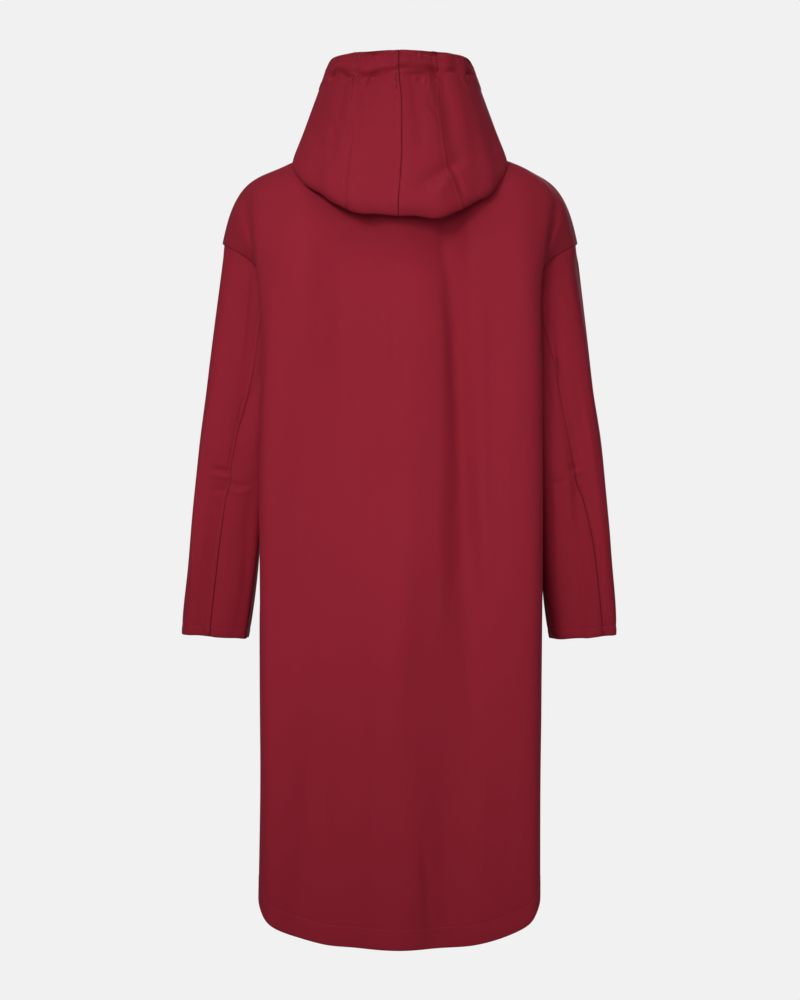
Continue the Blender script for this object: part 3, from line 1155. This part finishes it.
def hood_column(turn, places):
    """Points up the hood's cloth at one turn: neck seam, stand, fall, lowest line, rim."""
    mirror = MIRROR if turn < 0 else 1.0
    turn = abs(turn)
    side, along = math.sin(math.radians(turn)), math.cos(math.radians(turn))
    rim_height, *low = smooth(HOOD[:, 0], HOOD[:, 1:], turn)[0]
    rim_depth = RIM_BACK if along > 0 else RIM_FRONT
    rim = np.array((RIM_HALF_WIDTH * side, rim_depth * along, rim_height))
    neck, low, up = neck_point(turn) + (0, 0, NECK_GAP), np.array(low), np.array((0, 0, 1.0))
    out = unit((low - neck) * (1, 1, 0) + 1e-6)
    roll = neck + HOOD_ROLL * out + HOOD_STAND * up
    under = low - UNDER_IN * out + UNDER_UP * up
    behind = max(along, 0.0)
    wide, high = (at_side + more * behind for at_side, more in (OUTER_OUT, OUTER_UP))
    outer = low + wide * out + high * up
    belly = HOOD_BELLY * behind**2 * out
    lower, upper = (outer + share * (rim - outer) + belly for share in BELLY_SHARES)
    middle = (roll + under) / 2 + HOOD_SAG * up
    band = neck + HOOD_BAND * up
    pouch = np.array((neck, band, roll, middle, under, low, outer, lower, upper, rim))
    straight = neck + (HOOD_PLACES / HOOD_PLACES[-1])[:, None] * (rim - neck)
    fade = eased(POUCH_FROM, POUCH_TO, turn)
    return smooth(HOOD_PLACES, (1 - fade) * pouch + fade * straight, places) * mirror


turns = np.linspace(HOOD_OPEN_NECK - 180, 180 - HOOD_OPEN_NECK, HOOD_COLUMNS)
rows = np.linspace(0, HOOD_PLACES[-1], HOOD_ROWS)
bag = np.stack([hood_column(turn, rows) for turn in turns], axis=1)
bag = softened(bag, HOOD_SOFTENING)
tilt = np.where(np.abs(turns) < 90, np.sin(np.radians(2 * turns)), 0.0)
low = np.exp(-(((rows - HOOD_TILT_PLACE) / HOOD_TILT_REACH) ** 2))
bag[..., 2] += HOOD_TILT * low[:, None] * tilt[None, :]
flat = flat_map(turns * HOOD_TURN_WIDTH, rows)
calm = 1 - HOOD_CALM * eased(*HOOD_CALM_TURNS, np.abs(turns))
height = creased(flat, round_creases(HOOD_CREASES, HOOD_TURN_WIDTH))
height += calm * rippled(flat, HOOD_SEED, HOOD_RIPPLE, *SMALL_WAVES)
for row, seed, share in HOOD_PUCKERS:
    height += share * puckered(flat, row, seed, TUNNEL_PUCKER, TUNNEL_REACH)
bag = raised(bag, -1.0, height * faded(bag, top=0.02, bottom=0.003, sides=0.02))
left, centre, right = smooth(HOOD_SEAMS[:, 0], HOOD_SEAMS[:, 1:], rows).T
opening = 180 - HOOD_OPEN_NECK - (rows / rows[-1]) ** 2 * (HOOD_OPEN_RIM - HOOD_OPEN_NECK)
hood_lines = {
    "hood_side_right": (-opening, right),
    "hood_back_right": (right, centre),
    "hood_back_left": (centre, left),
    "hood_side_left": (left, opening),
}
hood_rows = []
for name, (start, end) in hood_lines.items():
    sewing = [(3, HOOD_TUNNEL), (3, HOOD_RIM_STITCH)]
    if name != "hood_side_right":
        sewing.append((0, HOOD_TOPSTITCH))
    piece, outer, out = cloth_piece(
        f"{name}_cloth",
        cut_between(bag, turns, start, end),
        -1.0,
        grooves=sewing,
        bands=((3, HOOD_TUNNEL, 0.0009),),
        laps=() if name == "hood_side_left" else (1,),
        step=HOOD_BACK_STEP if "back" in name else HOOD_STEP,
        faint=name == "hood_side_left",
    )
    hang(piece, name, outer)
    hood_rows += [sewn_line(outer, out, *row) for row in sewing]
sew("stitches_hood", hood_rows, 5)


# Press studs: seven plain lacquered caps down the centre front, each a low dome in a rolled rim,
# set by Geometry Nodes on the front that laps over. They stay closed.
STUD_PROFILE = (
    (0.0, 0.0022),
    (0.0022, 0.00215),
    (0.0040, 0.0018),
    (0.0049, 0.0013),
    (0.0053, 0.0012),
    (0.0059, 0.0015),
    (0.0064, 0.0012),
    (0.0065, 0.0007),
    (0.0063, 0.0002),
    (0.0060, 0.0),
)
STUD_CORNERS, STUD_SINK, STUD_NEIGHBOURS = 32, 0.0001, 12
STUD_SHARP = math.radians(60)
LACQUER_DARK, LACQUER_RED = (0.120, 0.008, 0.016), (0.190, 0.014, 0.027)
FLECK_WAVES, RUBBED_WAVES = 1400.0, 300.0
stud_nodes = [f"press_stud_{i}" for i in range(1, 8)]

lacquer, wire, shader = blank_material("dark_red_lacquer", 0.34)
wire.noise(wire.place(), FLECK_WAVES).between(LACQUER_DARK, LACQUER_RED).into(shader, "Base Color")
(0.26 + wire.noise(wire.place(), RUBBED_WAVES) * 0.20).into(shader, "Roughness")
shader.inputs["Coat Weight"].default_value = 0.4
shader.inputs["Coat Roughness"].default_value = 0.15

ring = np.linspace(0, 2 * math.pi, STUD_CORNERS, endpoint=False)
cap_points = [(0.0, 0.0, STUD_PROFILE[0][1])]
cap_faces = []
for level, (radius, rise) in enumerate(STUD_PROFILE[1:]):
    cap_points += [(radius * math.cos(t), radius * math.sin(t), rise) for t in ring]
    base = 1 + level * len(ring)
    for i in range(len(ring)):
        j = (i + 1) % len(ring)
        if level == 0:
            cap_faces.append((0, 1 + i, 1 + j))
        else:
            above = base - len(ring)
            cap_faces.append((above + i, base + i, base + j, above + j))
cap_faces.append(tuple(range(len(cap_points) - 1, len(cap_points) - 1 - len(ring), -1)))
cap_mesh = bpy.data.meshes.new("stud_cap")
cap_mesh.from_pydata(cap_points, [], cap_faces)
cap_mesh.shade_smooth()
cap_mesh.set_sharp_from_angle(angle=STUD_SHARP)
cap = bpy.data.objects.new("stud_cap", cap_mesh)

spots, cap_input = node_group("row_of_studs", "Cap", "NodeSocketObject")
cap_shape = spots.node("GeometryNodeObjectInfo", {"Object": cap_input}, output="Geometry")
outward = spots.node("FunctionNodeAlignRotationToVector", {"Vector": lift_of(spots)}, axis="Z")
stud_tree = finish_group(spots, cap_shape, {"Rotation": outward}, lacquer)

surface, surface_out = lap_outer.reshape(-1, 3), lap_out.reshape(-1, 3)
spots_at, spots_out = [], []
for node in stud_nodes:
    middle = np.mean(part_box(node), axis=0)
    away = np.linalg.norm((surface - middle)[:, (0, 2)], axis=1)
    near = np.argsort(away)[:STUD_NEIGHBOURS]
    spots_at.append((middle[0], surface[near, 1].mean() - STUD_SINK, middle[2]))
    spots_out.append(unit(surface_out[near].mean(axis=0)))
studs = laid("press_studs", np.array(spots_at), [], np.array(spots_out), stud_tree, cap)
bpy.data.objects.remove(cap)
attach(studs, "root")
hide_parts(*stud_nodes)
